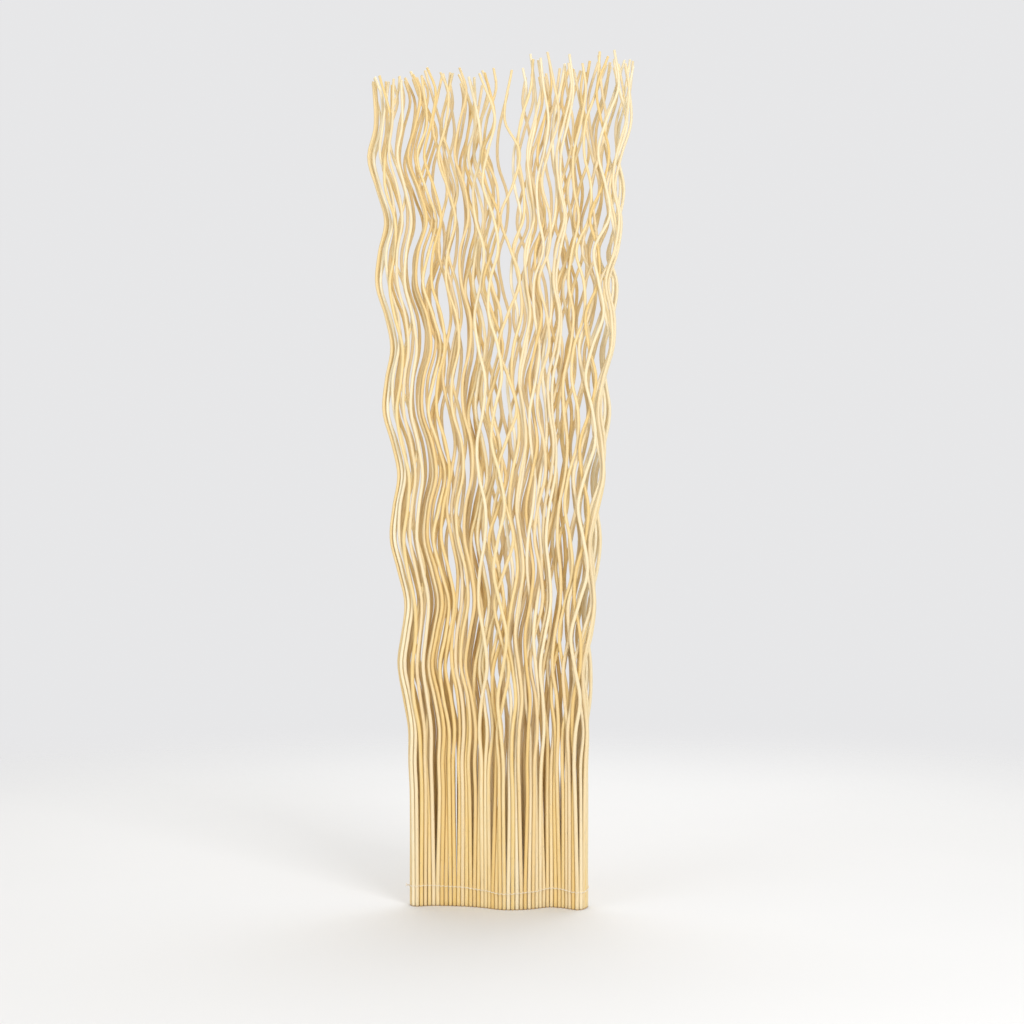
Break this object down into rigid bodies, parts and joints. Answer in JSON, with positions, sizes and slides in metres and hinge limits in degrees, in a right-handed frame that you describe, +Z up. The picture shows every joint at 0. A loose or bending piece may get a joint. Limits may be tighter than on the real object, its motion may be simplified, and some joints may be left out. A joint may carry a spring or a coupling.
{
  "type": "free-standing sheaf of wavy dried canes",
  "caption": "Tall free-standing sheaf of long wavy peeled canes, side by side on their cut feet in a closed flat row, held near the feet by a fine twined thread.",
  "frame": {"origin": "on the floor, below the middle of the sheaf's bounding box", "axes": "+Z up along the canes; the front of the sheaf faces -Y, and its width runs along X"},
  "size_m": [0.4738, 0.187, 1.498],
  "materials": {
    "cane": "peeled natural cane, pale honey, satin",
    "binding": "fine cream twined thread, matte"
  },
  "bodies": {
    "root": {"cane_pair_01": "cane", "cane_pair_02": "cane", "cane_pair_03": "cane", "cane_pair_04": "cane", "cane_pair_05": "cane", "cane_pair_06": "cane", "cane_pair_07": "cane", "cane_pair_08": "cane", "cane_pair_09": "cane", "cane_pair_10": "cane", "cane_pair_11": "cane", "cane_pair_12": "cane", "cane_pair_13": "cane", "cane_pair_14": "cane", "cane_pair_15": "cane", "cane_pair_16": "cane", "cane_pair_17": "cane", "cane_pair_18": "cane", "cane_pair_19": "cane", "cane_pair_20": "cane", "cane_pair_21": "cane", "cane_pair_22": "cane", "cane_pair_23": "cane", "cane_pair_24": "cane", "cane_pair_25": "cane", "cane_pair_26": "cane", "cane_pair_27": "cane", "cane_pair_28": "cane", "cane_pair_29": "cane", "cane_pair_30": "cane", "cane_pair_31": "cane", "cane_pair_32": "cane", "cane_pair_33": "cane", "cane_pair_34": "cane", "cane_pair_35": "cane", "cane_pair_36": "cane", "cane_pair_37": "cane", "cane_pair_38": "cane", "cane_pair_39": "cane", "cane_pair_40": "cane", "cane_pair_41": "cane", "cane_pair_42": "cane", "cane_pair_43": "cane", "cane_pair_44": "cane", "cane_pair_45": "cane", "cane_pair_46": "cane", "cane_pair_47": "cane", "cane_pair_48": "cane", "binding_outer": "binding", "binding_inner": "binding"}
  },
  "joints": []
}
